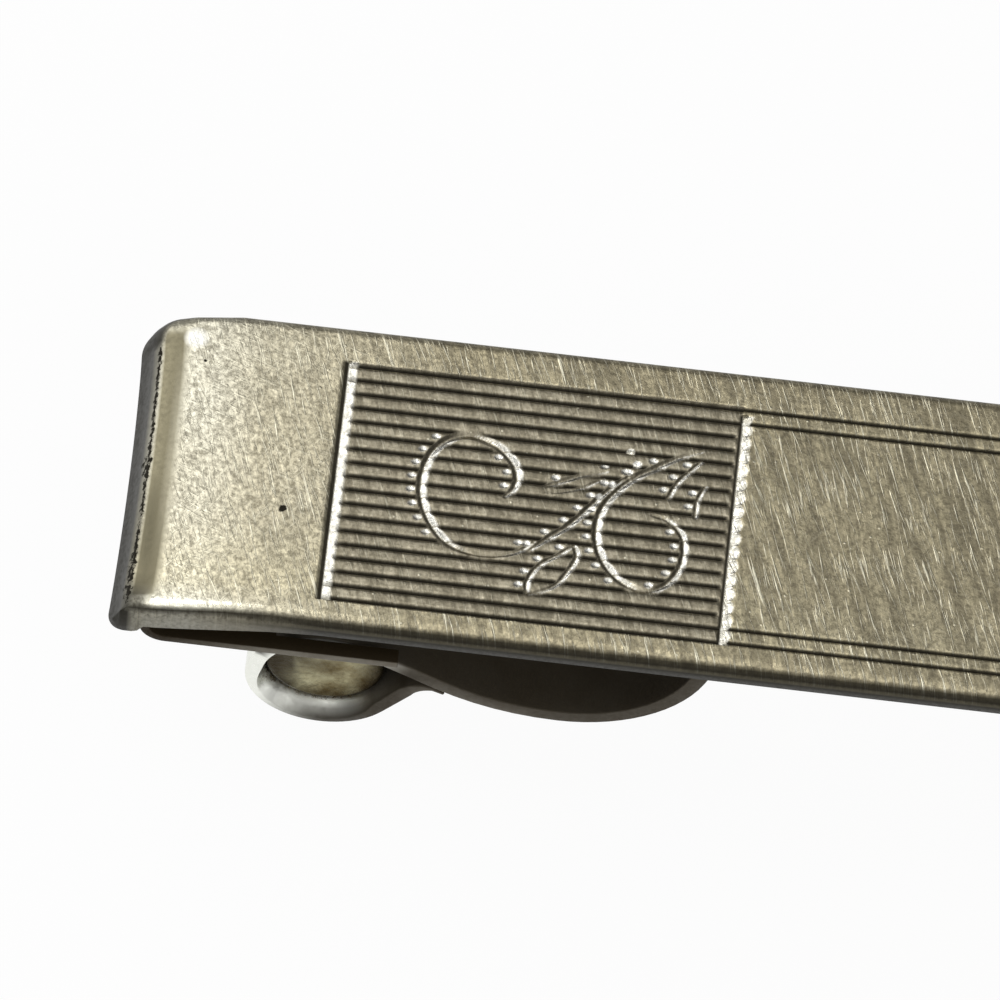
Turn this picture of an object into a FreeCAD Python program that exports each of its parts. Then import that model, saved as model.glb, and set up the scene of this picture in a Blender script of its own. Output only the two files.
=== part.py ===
import FreeCAD, Part
import Sketcher
import math
import os

# Tie clip: an engraved bar with a sprung jaw hinged behind its left end.
# X runs along the bar, Y across it, Z up through the engraved face.
# All sizes are millimetres and angles are degrees.

driving_sizes = {
    "bar_length": 52.0,
    "bar_width": 9.5,
    "bar_thickness": 0.8,
    "lip_depth": 0.5,
    "lip_wall": 0.8,
    "edge_radius": 0.45,
    "upper_corner_radius": 1.6,
    "lower_corner_radius": 0.5,
    "panel_margin": 5.5,
    "panel_length": 10.75,
    "face_shift": -0.25,
    "groove_count": 18,
    "groove_pitch": 0.435,
    "groove_width": 0.2,
    "groove_depth": 0.1,
    "hinge_from_end": 5.85,
    "hinge_drop": 3.2,
    "pin_diameter": 3.2,
    "pin_clearance": 0.05,
    "pin_setback": 0.4,
    "pin_chamfer": 0.2,
    "leaf_thickness": 0.25,
    "leaf_inset": 0.2,
    "leaf_gap": 1.15,
    "leaf_reach": 4.5,
    "wing_reach": 7.8,
    "wing_gap": 0.06,
    "leaf_foot": 3.6,
    "leaf_seat_gap": 0.05,
    "tongue_share": 0.145,
    "tongue_bend": 0.5,
    "tongue_wrap_angle": 300.0,
    "jaw_thickness": 0.45,
    "jaw_inset": 0.7,
    "eye_share": 0.15,
    "knuckle_gap": 0.1,
    "strip_angle": 30.0,
    "strip_run": 2.5,
    "belly_radius": 6.5,
    "toe_radius": 3.8,
    "toe_angle": 70.0,
    "toe_gap": 0.06,
    "tail_angle": 53.0,
    "tail_radius": 0.5,
    "tail_end": 0.35,
    "tail_seam": 0.03,
    "window_gap": 0.3,
    "tooth_count": 9,
    "tooth_depth": 0.35,
    "wire_diameter": 0.3,
    "coil_clearance": 0.1,
    "coil_side_gap": 0.35,
    "coil_turns": 2,
    "spring_leg": 2.5,
    "spring_gap": 0.12,
}

doc = FreeCAD.newDocument("tie_clip")
sheet = doc.addObject("Spreadsheet::Sheet", "sizes")
for row, (name, value) in enumerate(driving_sizes.items(), start=1):
    sheet.set(f"A{row}", name)
    sheet.set(f"B{row}", str(value))
    sheet.setAlias(f"B{row}", name)

# Sizes that follow from the driving ones, kept in the sheet as formulas.
derived_sizes = {
    "eye_radius": "=pin_diameter / 2 + pin_clearance + jaw_thickness",
    "back_height": "=eye_radius + hinge_drop",
    "hinge_place": "=hinge_from_end - bar_length / 2",
    "groove_span": "=(groove_count - 1) * groove_pitch",
    "jaw_width": "=bar_width - 2 * jaw_inset",
    "pin_length": "=jaw_width - 2 * pin_setback",
    "leaf_width": "=bar_width - 2 * leaf_inset",
    "eye_width": "=jaw_width * eye_share",
    "tongue_width": "=jaw_width * tongue_share",
}
for row, (name, formula) in enumerate(derived_sizes.items(), start=len(driving_sizes) + 1):
    sheet.set(f"A{row}", name)
    sheet.set(f"B{row}", formula)
    sheet.setAlias(f"B{row}", name)
doc.recompute()


def size(name):
    return float(sheet.get(name))


def origin_feature(body, role):
    return next(part for part in body.Origin.OriginFeatures if part.Role == role)


def new_body(name):
    body = doc.addObject("PartDesign::Body", name)
    body.Label = name
    return body


def new_sketch(body, name, role):
    sketch = body.newObject("Sketcher::SketchObject", name)
    sketch.AttachmentSupport = [(origin_feature(body, role), "")]
    sketch.MapMode = "FlatFace"
    return sketch


def bind(sketch, label, formula):
    sketch.setExpression("Constraints." + label, formula)


def draw_loop(sketch, corners):
    points = [FreeCAD.Vector(x, y, 0) for x, y in corners]
    count = len(points)
    for index in range(count):
        sketch.addGeometry(Part.LineSegment(points[index], points[(index + 1) % count]), False)
    for index in range(count):
        sketch.addConstraint(Sketcher.Constraint("Coincident", index, 2, (index + 1) % count, 1))


def dimension(sketch, label, kind, *where):
    index = sketch.addConstraint(Sketcher.Constraint(kind, *where))
    sketch.renameConstraint(index, label)


# A rectangle from the left end along X, the same distance each side of the middle line.
def end_rectangle(sketch, length, width):
    long_side = size(length)
    half = size(width) / 2
    draw_loop(sketch, [(0, -half), (long_side, -half), (long_side, half), (0, half)])
    for line in (0, 2):
        sketch.addConstraint(Sketcher.Constraint("Horizontal", line))
    sketch.addConstraint(Sketcher.Constraint("Vertical", 1))
    sketch.addConstraint(Sketcher.Constraint("PointOnObject", 0, 1, -2))
    sketch.addConstraint(Sketcher.Constraint("Symmetric", 0, 1, 2, 2, -1))
    dimension(sketch, "along", "DistanceX", 0, 1, 0, 2, long_side)
    dimension(sketch, "across", "DistanceY", 1, 1, 1, 2, 2 * half)
    bind(sketch, "along", "sizes." + length)
    bind(sketch, "across", "sizes." + width)


def add_fillet(body, name, base, edges, radius):
    fillet = body.newObject("PartDesign::Fillet", name)
    fillet.Base = (base, edges)
    fillet.setExpression("Radius", "sizes." + radius)
    doc.recompute()
    return fillet


def edge_names(shape, test):
    return [f"Edge{index}" for index, edge in enumerate(shape.Edges, start=1) if test(edge)]


# A V-shaped groove along X, cut across the face and repeated towards the lower edge.
def cut_grooves(body, name, start, length, from_middle, copies):
    sketch = new_sketch(body, name + "_section", "YZ_Plane")
    sketch.setExpression("AttachmentOffset.Base.z", start)
    wide = size("groove_width")
    deep = size("groove_depth")
    middle = float(body.evalExpression(from_middle))
    bottom = size("bar_thickness") - deep
    mouth = bottom + 2 * deep
    draw_loop(sketch, [(middle, bottom), (middle + wide, mouth), (middle - wide, mouth)])
    sketch.addConstraint(Sketcher.Constraint("Horizontal", 1))
    dimension(sketch, "place", "DistanceX", -1, 1, 0, 1, middle)
    dimension(sketch, "floor", "DistanceY", -1, 1, 0, 1, bottom)
    dimension(sketch, "rise", "DistanceY", 0, 1, 0, 2, 2 * deep)
    dimension(sketch, "reach", "DistanceX", 0, 1, 0, 2, wide)
    dimension(sketch, "mouth", "DistanceX", 1, 2, 1, 1, 2 * wide)
    bind(sketch, "place", from_middle)
    bind(sketch, "floor", "sizes.bar_thickness - sizes.groove_depth")
    bind(sketch, "rise", "2 * sizes.groove_depth")
    bind(sketch, "reach", "sizes.groove_width")
    bind(sketch, "mouth", "2 * sizes.groove_width")
    groove = body.newObject("PartDesign::Pocket", name)
    groove.Profile = sketch
    groove.Reversed = True
    groove.setExpression("Length", length)
    doc.recompute()
    rows = body.newObject("PartDesign::LinearPattern", name + "_rows")
    rows.Originals = [groove]
    rows.Direction = (sketch, ["H_Axis"])
    rows.Reversed = True
    rows.setExpression("Length", f"({copies} - 1) * sizes.groove_pitch")
    rows.setExpression("Occurrences", copies)
    body.Tip = rows
    doc.recompute()


# Front bar: flat strip with a turned-down left end, soft edges and two ribbed panels.
def make_front_bar():
    body = new_body("front_bar")
    plan = new_sketch(body, "bar_plan", "XY_Plane")
    end_rectangle(plan, "bar_length", "bar_width")
    strip = body.newObject("PartDesign::Pad", "bar_strip")
    strip.Profile = plan
    strip.setExpression("Length", "sizes.bar_thickness")
    doc.recompute()
    lip_plan = new_sketch(body, "lip_plan", "XY_Plane")
    end_rectangle(lip_plan, "lip_wall", "bar_width")
    lip = body.newObject("PartDesign::Pad", "end_lip")
    lip.Profile = lip_plan
    lip.Reversed = True
    lip.setExpression("Length", "sizes.lip_depth")
    doc.recompute()

    def upright(edge, side):
        box = edge.BoundBox
        at_end = min(abs(box.XMin), abs(box.XMin - size("bar_length"))) < 1e-6
        return box.ZLength > 0.1 and box.XLength < 1e-6 and at_end and box.Center.y * side > 0

    upper = edge_names(lip.Shape, lambda edge: upright(edge, 1))
    tip = add_fillet(body, "upper_corners", lip, upper, "upper_corner_radius")
    lower = edge_names(tip.Shape, lambda edge: upright(edge, -1))
    tip = add_fillet(body, "lower_corners", tip, lower, "lower_corner_radius")
    top = size("bar_thickness")
    rim = edge_names(tip.Shape, lambda edge: edge.BoundBox.ZMin > top - 1e-6)
    add_fillet(body, "soft_rim", tip, rim, "edge_radius")

    inner_count = "(sizes.groove_count - 4)"
    inner_place = "sizes.face_shift + sizes.groove_span / 2 - 2 * sizes.groove_pitch"
    full_run = "sizes.bar_length - 2 * sizes.panel_margin"
    right_start = "sizes.bar_length - sizes.panel_margin - sizes.panel_length"
    cut_grooves(body, "upper_border", "sizes.panel_margin", full_run,
                "sizes.face_shift + sizes.groove_span / 2", "2")
    cut_grooves(body, "lower_border", "sizes.panel_margin", full_run,
                "sizes.face_shift + sizes.groove_pitch - sizes.groove_span / 2", "2")
    cut_grooves(body, "left_panel", "sizes.panel_margin", "sizes.panel_length", inner_place, inner_count)
    cut_grooves(body, "right_panel", right_start, "sizes.panel_length", inner_place, inner_count)
    body.setExpression("Placement.Base.x", "-sizes.bar_length / 2")
    body.setExpression("Placement.Base.z", "sizes.back_height")
    return body


# Hinge pin: round, with chamfered ends that stop short of the eyes' outer edges.
def make_hinge_pin():
    body = new_body("hinge_pin")
    sketch = new_sketch(body, "pin_half", "XY_Plane")
    radius = size("pin_diameter") / 2
    half = size("pin_length") / 2
    cut = size("pin_chamfer")
    draw_loop(sketch, [(0, -half), (radius - cut, -half), (radius, cut - half),
                       (radius, half - cut), (radius - cut, half), (0, half)])
    for line in (0, 4):
        sketch.addConstraint(Sketcher.Constraint("Horizontal", line))
    sketch.addConstraint(Sketcher.Constraint("PointOnObject", 0, 1, -2))
    sketch.addConstraint(Sketcher.Constraint("Symmetric", 0, 1, 5, 1, -1))
    sketch.addConstraint(Sketcher.Constraint("Symmetric", 2, 1, 2, 2, -1))
    dimension(sketch, "length", "DistanceY", 0, 1, 5, 1, 2 * half)
    dimension(sketch, "radius", "DistanceX", 0, 1, 2, 1, radius)
    dimension(sketch, "low_cut", "DistanceX", 1, 1, 1, 2, cut)
    dimension(sketch, "low_rise", "DistanceY", 1, 1, 1, 2, cut)
    dimension(sketch, "high_cut", "DistanceX", 3, 2, 3, 1, cut)
    bind(sketch, "length", "sizes.pin_length")
    bind(sketch, "radius", "sizes.pin_diameter / 2")
    for label in ("low_cut", "low_rise", "high_cut"):
        bind(sketch, label, "sizes.pin_chamfer")
    pin = body.newObject("PartDesign::Revolution", "pin_turned")
    pin.Profile = sketch
    pin.ReferenceAxis = (sketch, ["V_Axis"])
    pin.Angle = 360
    doc.recompute()
    place_at_hinge(body)
    return body


def place_at_hinge(item):
    item.setExpression("Placement.Base.x", "sizes.hinge_place")
    item.setExpression("Placement.Base.z", "sizes.eye_radius")


# Bent strips are drawn in X and Z about the hinge axis as one line of straight runs and tangent arcs.
def polar(centre, radius, angle):
    turn = math.radians(angle)
    return FreeCAD.Vector(centre.x + radius * math.cos(turn), 0, centre.z + radius * math.sin(turn))


def heading(angle):
    return polar(FreeCAD.Vector(0, 0, 0), 1, angle)


def straight(start, angle, length):
    return {"start": start, "angle": angle, "end": start + heading(angle) * length}


def bend(centre, radius, first, last):
    return {"centre": centre, "radius": radius, "first": first, "last": last}


# One side of a run, shifted to the left of the way along it.
def side_edge(run, shift):
    if "angle" in run:
        across = heading(run["angle"] + 90) * shift
        return Part.LineSegment(run["start"] + across, run["end"] + across).toShape()
    turns_left = run["last"] > run["first"]
    radius = run["radius"] - shift if turns_left else run["radius"] + shift
    points = [polar(run["centre"], radius, angle) for angle in
              (run["first"], (run["first"] + run["last"]) / 2, run["last"])]
    return Part.Arc(*points).toShape()


def bent_strip(runs, thickness, low, high):
    left = [side_edge(run, thickness / 2) for run in runs]
    right = [side_edge(run, -thickness / 2) for run in runs]
    caps = [Part.LineSegment(left[index].Vertexes[end].Point, right[index].Vertexes[end].Point).toShape()
            for index, end in ((0, 0), (-1, -1))]
    outline = Part.Wire(Part.sortEdges(left + right + caps)[0])
    solid = Part.Face(outline).extrude(FreeCAD.Vector(0, high - low, 0))
    solid.translate(FreeCAD.Vector(0, low, 0))
    return solid


def add_feature(name, shape):
    feature = doc.addObject("Part::Feature", name)
    feature.Label = name
    feature.Shape = shape
    place_at_hinge(feature)
    return feature


axis_point = FreeCAD.Vector(0, 0, 0)
bore_radius = size("pin_diameter") / 2 + size("pin_clearance")
tongue_outer = size("jaw_width") / 2 - size("eye_width") - size("knuckle_gap")
tongue_inner = tongue_outer - size("tongue_width")


# Hinge leaf: foot on the back of the bar, a tight fold inside the lip, wings past the eyes,
# and two tongues curled on the pin.
def make_hinge_leaf():
    thickness = size("leaf_thickness")
    level = size("hinge_drop") - size("leaf_gap") - thickness / 2
    foot_level = size("hinge_drop") - thickness / 2
    fold_radius = (foot_level - level) / 2
    fold_place = size("lip_wall") + size("leaf_seat_gap") + thickness / 2 + fold_radius - size("hinge_from_end")
    foot_end = size("leaf_foot") - size("hinge_from_end")
    reach = size("leaf_reach") - size("hinge_from_end")
    foot = straight(FreeCAD.Vector(foot_end, 0, foot_level), 180, foot_end - fold_place)
    fold = bend(FreeCAD.Vector(fold_place, 0, level + fold_radius), fold_radius, 90, 270)
    plate = straight(FreeCAD.Vector(fold_place, 0, level), 0, reach - fold_place)
    half = size("leaf_width") / 2
    leaf = bent_strip([foot, fold, plate], thickness, -half, half)

    # A narrow wing runs on past each eye, just outside the jaw.
    wing = straight(plate["end"], 0, size("wing_reach") - size("leaf_reach"))
    wing_inner = size("jaw_width") / 2 + size("wing_gap")
    for low, high in ((wing_inner, half), (-half, -wing_inner)):
        leaf = leaf.fuse(bent_strip([wing], thickness, low, high))

    # The tongue dips by the one angle that brings it tangent to its curl.
    curl_radius = bore_radius + thickness / 2
    dip_radius = size("tongue_bend")
    height = level - dip_radius
    lean = math.degrees(math.atan2(reach, height))
    dip = lean + math.degrees(math.acos((curl_radius - dip_radius) / math.hypot(reach, height)))
    dip_bend = bend(FreeCAD.Vector(reach, 0, height), dip_radius, 90, 90 - dip)
    dip_end = polar(dip_bend["centre"], dip_radius, 90 - dip)
    tangent = polar(axis_point, curl_radius, 90 - dip)
    slope = straight(dip_end, -dip, (tangent - dip_end).Length)
    curl = bend(axis_point, curl_radius, 90 - dip, 90 - dip - size("tongue_wrap_angle"))
    for low, high in ((tongue_inner, tongue_outer), (-tongue_outer, -tongue_inner)):
        leaf = leaf.fuse(bent_strip([dip_bend, slope, curl], thickness, low, high))
    return add_feature("hinge_leaf", leaf.removeSplitter())


# Jaw: strip curled into two eyes on the pin, sloping to a belly and a toe that closes on the bar.
def make_jaw():
    thickness = size("jaw_thickness")
    eye_middle = bore_radius + thickness / 2
    slope = size("strip_angle")
    leave = 90 - slope
    strip = straight(polar(axis_point, eye_middle, leave), -slope, size("strip_run"))
    belly_centre = strip["end"] + heading(90 - slope) * size("belly_radius")
    belly = bend(belly_centre, size("belly_radius"), -90 - slope, -90)
    lowest = polar(belly_centre, size("belly_radius"), -90)
    toe_centre = lowest + FreeCAD.Vector(0, 0, size("toe_radius"))
    toe_bend = bend(toe_centre, size("toe_radius"), -90, size("toe_angle") - 90)
    toe_start = polar(toe_centre, size("toe_radius"), size("toe_angle") - 90)
    toe_turn = math.radians(size("toe_angle"))
    toe_top = size("hinge_drop") - size("toe_gap") - thickness / 2 * math.cos(toe_turn)
    toe = straight(toe_start, size("toe_angle"), (toe_top - toe_start.z) / math.sin(toe_turn))

    # The tail of the curl rises to lie against the underside of the strip.
    across = heading(leave)
    rise = heading(size("tail_angle"))
    right_of_rise = heading(size("tail_angle") - 90)
    tail_start = polar(axis_point, eye_middle, size("tail_angle") - 90)
    tail_radius = size("tail_radius")
    seat = eye_middle - thickness - size("tail_seam")
    tail_run = seat - tail_radius - across.dot(tail_start) - tail_radius * across.dot(right_of_rise)
    tail_run = tail_run / across.dot(rise)
    tail_top = tail_start + rise * tail_run
    tail_centre = tail_top + right_of_rise * tail_radius
    tail_flat = polar(tail_centre, tail_radius, leave)
    end = straight(tail_flat + heading(-slope) * size("tail_end"), 180 - slope, size("tail_end"))
    over = bend(tail_centre, tail_radius, leave, size("tail_angle") + 90)
    tail = straight(tail_top, size("tail_angle") + 180, tail_run)
    eye = bend(axis_point, eye_middle, size("tail_angle") - 90, leave - 360)
    half = size("jaw_width") / 2
    jaw = bent_strip([end, over, tail, eye, strip, belly, toe_bend, toe], thickness, -half, half)

    # The window leaves an eye at each side and clears the tongues and the coil between them.
    window_half = half - size("eye_width")
    window_end = max(coil_radius + size("wire_diameter") / 2, bore_radius + size("leaf_thickness"))
    window_end = window_end + size("window_gap")
    window_start = -size("eye_radius") - size("window_gap")
    tall = 4 * size("eye_radius")
    window_corner = FreeCAD.Vector(window_start, -window_half, -tall / 2)
    jaw = jaw.cut(Part.makeBox(window_end - window_start, 2 * window_half, tall, window_corner))

    # Teeth: notches across the end of the toe, drawn twice their height so that they open past it.
    pitch = size("jaw_width") / size("tooth_count")
    deep = heading(size("toe_angle")) * size("tooth_depth")
    outward = heading(size("toe_angle") + 90)
    across_bar = FreeCAD.Vector(0, 1, 0)
    back = toe["end"] - outward * thickness
    for index in range(1, int(size("tooth_count"))):
        middle = back + across_bar * (index * pitch - half)
        corners = [middle - deep, middle + deep + across_bar * pitch, middle + deep - across_bar * pitch]
        notch = Part.Face(Part.makePolygon(corners + corners[:1])).extrude(outward * (2 * thickness))
        jaw = jaw.cut(notch)
    return add_feature("jaw", jaw)


# The one arc that leaves a point in a given direction and ends at another point.
def arc_between(start, direction, end):
    chord = end - start
    along = FreeCAD.Vector(chord).normalize()
    lean = direction - along * direction.dot(along)
    middle = (start + end) * 0.5
    if lean.Length > 1e-9:
        angle = math.atan2(lean.Length, direction.dot(along))
        middle = middle + lean.normalize() * (chord.Length / 2 * math.tan(angle / 2))
    return Part.Arc(start, middle, end).toShape()


# Two arcs that meet smoothly and join two points with their directions.
def biarc(start, start_way, end, end_way):
    gap = end - start
    both = start_way + end_way
    square = both.dot(both) - 4
    linear = -2 * gap.dot(both)
    constant = gap.dot(gap)
    step = (-linear - math.sqrt(linear * linear - 4 * square * constant)) / (2 * square)
    meeting = (start + start_way * step + end - end_way * step) * 0.5
    meeting_way = (end - end_way * step - start - start_way * step).normalize()
    return [arc_between(start, start_way, meeting), arc_between(meeting, meeting_way, end)]


# Torsion spring: one leg under the leaf, turns round the pin, the other leg under the jaw.
def make_torsion_spring():
    wire = size("wire_diameter")
    clear = wire / 2 + size("spring_gap")
    slope = size("strip_angle")
    thickness = size("jaw_thickness")
    under_jaw = bore_radius - thickness - size("tail_seam") - clear
    jaw_end = heading(90 - slope) * under_jaw + heading(-slope) * size("spring_leg")
    leaf_under = size("hinge_drop") - size("leaf_gap") - size("leaf_thickness")
    leaf_end = FreeCAD.Vector(-size("spring_leg"), 0, leaf_under - clear)

    # Each leg leaves the coil where its line is tangent to it.
    def tangent_angle(point, side):
        bearing = math.degrees(math.atan2(point.z, point.x))
        return bearing + side * math.degrees(math.acos(coil_radius / point.Length))

    first = tangent_angle(leaf_end, 1)
    last = tangent_angle(jaw_end, -1)
    sweep = (last - first) % 360 + 360 * size("coil_turns")
    coil_length = 2 * (tongue_inner - size("coil_side_gap")) - wire
    climb = coil_length / sweep
    start_side = -coil_length / 2

    def on_coil(turned):
        point = polar(axis_point, coil_radius, first + turned)
        point.y = start_side + turned * climb
        return point

    def way_on_coil(turned):
        way = heading(first + turned + 90) * math.radians(coil_radius)
        way.y = climb
        return way.normalize()

    steps = math.ceil(sweep / 90)
    stops = [sweep * index / steps for index in range(steps + 1)]
    arcs = []
    for before, after in zip(stops, stops[1:]):
        arcs += biarc(on_coil(before), way_on_coil(before), on_coil(after), way_on_coil(after))
    leaf_run = math.sqrt(leaf_end.Length ** 2 - coil_radius ** 2)
    jaw_run = math.sqrt(jaw_end.Length ** 2 - coil_radius ** 2)
    coil_start = on_coil(0)
    coil_end = on_coil(sweep)
    leaf_tip = coil_start - way_on_coil(0) * leaf_run
    jaw_tip = coil_end + way_on_coil(sweep) * jaw_run
    path = [Part.LineSegment(leaf_tip, coil_start).toShape()] + arcs
    path.append(Part.LineSegment(coil_end, jaw_tip).toShape())
    section = Part.Wire(Part.Circle(leaf_tip, way_on_coil(0), wire / 2).toShape())
    spring = Part.Wire(path).makePipeShell([section], True, False)

    # Least gap between neighbouring turns, measured on points one full turn or more apart.
    mark_count = 400
    marks = [sweep * index / mark_count for index in range(mark_count + 1)]
    gaps = [on_coil(one).distanceToPoint(on_coil(two)) - wire
            for one in marks for two in marks if two - one > 300]
    print(f"torsion_spring least gap between turns {min(gaps):.3f} mm")
    return add_feature("torsion_spring", spring)


coil_radius = size("pin_diameter") / 2 + size("coil_clearance") + size("wire_diameter") / 2

nodes = [make_front_bar(), make_hinge_leaf(), make_hinge_pin(), make_jaw(), make_torsion_spring()]
doc.recompute()

for item in doc.Objects:
    if "Invalid" in item.State or "Error" in item.State:
        raise RuntimeError(f"{item.Label} failed: {item.State}")
for node in nodes:
    if node.Shape.isNull() or not node.Shape.isValid():
        raise RuntimeError(f"{node.Label} has no valid shape")

os.makedirs("parts", exist_ok=True)
for node in nodes:
    node.Shape.exportStep(f"parts/{node.Label}.step")
    print(f"{node.Label}: {len(node.Shape.Solids)} solid, {node.Shape.Volume:.3f} cubic mm")
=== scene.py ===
import bmesh
import bpy
import math
import numpy as np
from mathutils import Matrix, Vector


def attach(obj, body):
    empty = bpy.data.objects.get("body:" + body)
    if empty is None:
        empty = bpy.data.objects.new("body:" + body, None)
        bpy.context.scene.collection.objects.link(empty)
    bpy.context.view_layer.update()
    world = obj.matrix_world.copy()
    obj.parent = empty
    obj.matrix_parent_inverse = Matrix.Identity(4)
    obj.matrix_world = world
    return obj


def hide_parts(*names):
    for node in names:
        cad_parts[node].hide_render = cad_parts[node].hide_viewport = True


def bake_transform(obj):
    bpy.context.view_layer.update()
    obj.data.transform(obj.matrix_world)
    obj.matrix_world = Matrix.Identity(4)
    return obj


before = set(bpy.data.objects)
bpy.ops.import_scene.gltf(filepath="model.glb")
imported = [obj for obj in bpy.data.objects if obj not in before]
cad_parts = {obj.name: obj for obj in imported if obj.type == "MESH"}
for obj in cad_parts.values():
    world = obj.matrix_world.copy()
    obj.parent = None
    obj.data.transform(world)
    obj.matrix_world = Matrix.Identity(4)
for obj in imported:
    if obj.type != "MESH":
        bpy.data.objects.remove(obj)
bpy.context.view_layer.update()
scene = bpy.context.scene
scene.view_settings.view_transform = "Standard"
print("frame loaded")

mm = 0.001                     # pieces are shaped in millimetres, then brought to metres
hingeX, hingeZ = -20.15, 2.1   # hinge axis
faceTop, barBack = 6.1, 5.3
bendStep = 5                   # degrees between two rows of a bent strip


def startFresh():
    if bpy.context.object and bpy.context.object.mode != "OBJECT":
        bpy.ops.object.mode_set(mode="OBJECT")
    bpy.ops.object.select_all(action="DESELECT")


def workOn(piece):
    startFresh()
    piece.select_set(True)
    bpy.context.view_layer.objects.active = piece


# applies what was moved, turned or scaled to the mesh
def keepPlace():
    bpy.ops.object.transform_apply(location=True, rotation=True, scale=True)


def adjust(thing, **settings):
    for name, value in settings.items():
        setattr(thing, name, value)
    return thing


def applyModifiers(piece):
    workOn(piece)
    for modifier in list(piece.modifiers):
        bpy.ops.object.modifier_apply(modifier=modifier.name)


# edit mode with nothing selected
def openMesh(piece, kind):
    workOn(piece)
    bpy.ops.object.mode_set(mode="EDIT")
    bpy.ops.mesh.select_mode(type=kind)
    bpy.ops.mesh.select_all(action="DESELECT")


def closeMesh():
    bpy.ops.object.mode_set(mode="OBJECT")


def pickFaces(piece, wanted):
    openMesh(piece, "FACE")
    mesh = bmesh.from_edit_mesh(piece.data)
    for face in mesh.faces:
        face.select = wanted(face)
    bmesh.update_edit_mesh(piece.data)


def dropFaces(piece, unwanted):
    pickFaces(piece, lambda face: unwanted(face.calc_center_median()))
    bpy.ops.mesh.delete(type="FACE")
    closeMesh()


def pickBorders(piece):
    openMesh(piece, "EDGE")
    bpy.ops.mesh.select_non_manifold()


# points closer than the weld are merged, then all faces point outwards
def turnOut(piece, weld=0.0005):
    workOn(piece)
    bpy.ops.object.mode_set(mode="EDIT")
    bpy.ops.mesh.select_all(action="SELECT")
    if weld:
        bpy.ops.mesh.remove_doubles(threshold=weld)
    bpy.ops.mesh.normals_make_consistent(inside=False)
    closeMesh()


# what each vertex holds under a label: its place or its normal
def perVertex(piece, label):
    values = np.empty(len(piece.data.vertices) * 3, dtype=np.float32)
    piece.data.vertices.foreach_get(label, values)
    return values.reshape(-1, 3).astype(float)


def putPlaces(piece, places):
    piece.data.vertices.foreach_set("co", np.ascontiguousarray(places, dtype=np.float32).reshape(-1))
    piece.data.update()


# a grid primitive laid over points given row by row
def shapedGrid(name, points):
    startFresh()
    rows, columns = points.shape[:2]
    bpy.ops.mesh.primitive_grid_add(x_subdivisions=columns - 1, y_subdivisions=rows - 1, size=1)
    piece = bpy.context.object
    piece.name = name
    putPlaces(piece, points)
    return piece


def paint(piece, name, values):
    layer = piece.data.attributes.new(name, "FLOAT", "POINT")
    layer.data.foreach_set("value", np.asarray(values, dtype=np.float32))


def settle(piece, material, body, node, angle=35):
    workOn(piece)
    piece.scale = (mm, mm, mm)
    keepPlace()
    bpy.ops.object.shade_smooth_by_angle(angle=math.radians(angle))
    piece.data.materials.clear()
    piece.data.materials.append(material)
    if body:
        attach(piece, body)
    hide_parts(node)
    print(piece.name, len(piece.data.polygons), "faces")


# 0 at the low limit and its share at the high one, soft between them; to fade, the limits change places
def ease(value, low, high, share=1.0):
    t = np.clip((np.asarray(value, dtype=float) - low) / (high - low), 0, 1)
    return share * t * t * (3 - 2 * t)


# a place that is worn, bent, or given painted shade or a painted highlight: the product of its limits, each on a
# named measure
def mark(place, at):
    mask = 1.0
    for name, *limits in place:
        mask = mask * ease(at[name], *limits)
    return mask


# a link where the value is a socket, else a plain value
def feed(tree, node, label, value):
    if isinstance(value, bpy.types.NodeSocket):
        tree.links.new(value, node.inputs[label])
    else:
        node.inputs[label].default_value = value


def addNode(tree, kind, **settings):
    return adjust(tree.nodes.new("ShaderNode" + kind), **settings)


def mathNode(tree, operation, *values):
    node = addNode(tree, "Math", operation=operation)
    for index, value in enumerate(values):
        feed(tree, node, index, value)
    return node.outputs[0]


# plus, times, the greater of two, and what a mask leaves over
def sums(tree):
    def pair(operation):
        return lambda first, second: mathNode(tree, operation, first, second)
    return pair("ADD"), pair("MULTIPLY"), pair("MAXIMUM"), lambda value: mathNode(tree, "SUBTRACT", 1.0, value)


def ramp(tree, value, low, high):
    node = addNode(tree, "MapRange")
    for label, given in (("Value", value), ("From Min", low), ("From Max", high)):
        feed(tree, node, label, given)
    return node.outputs[0]


def mixColour(tree, factor, first, second):
    node = addNode(tree, "Mix", data_type="RGBA")
    feed(tree, node, 0, factor)
    for label, colour in ((6, first), (7, second)):
        feed(tree, node, label, (*colour, 1.0) if isinstance(colour, tuple) else colour)
    return node.outputs[2]


def objectPlace(tree):
    return addNode(tree, "TexCoord").outputs["Object"]


# each point's place measured against a vector
def measure(tree, operation, vector):
    node = addNode(tree, "VectorMath", operation=operation)
    feed(tree, node, 0, objectPlace(tree))
    feed(tree, node, 1, vector)
    return node.outputs["Value"]


# inputs with their first values, and one mask as output
def newGroup(name, **inputs):
    group = bpy.data.node_groups.new(name, "ShaderNodeTree")
    for label, value in inputs.items():
        kind = "NodeSocketVector" if isinstance(value, tuple) else "NodeSocketFloat"
        group.interface.new_socket(label, in_out="INPUT", socket_type=kind).default_value = value
    group.interface.new_socket("Mask", in_out="OUTPUT", socket_type="NodeSocketFloat")
    return group, group.nodes.new("NodeGroupInput").outputs, group.nodes.new("NodeGroupOutput")


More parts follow.
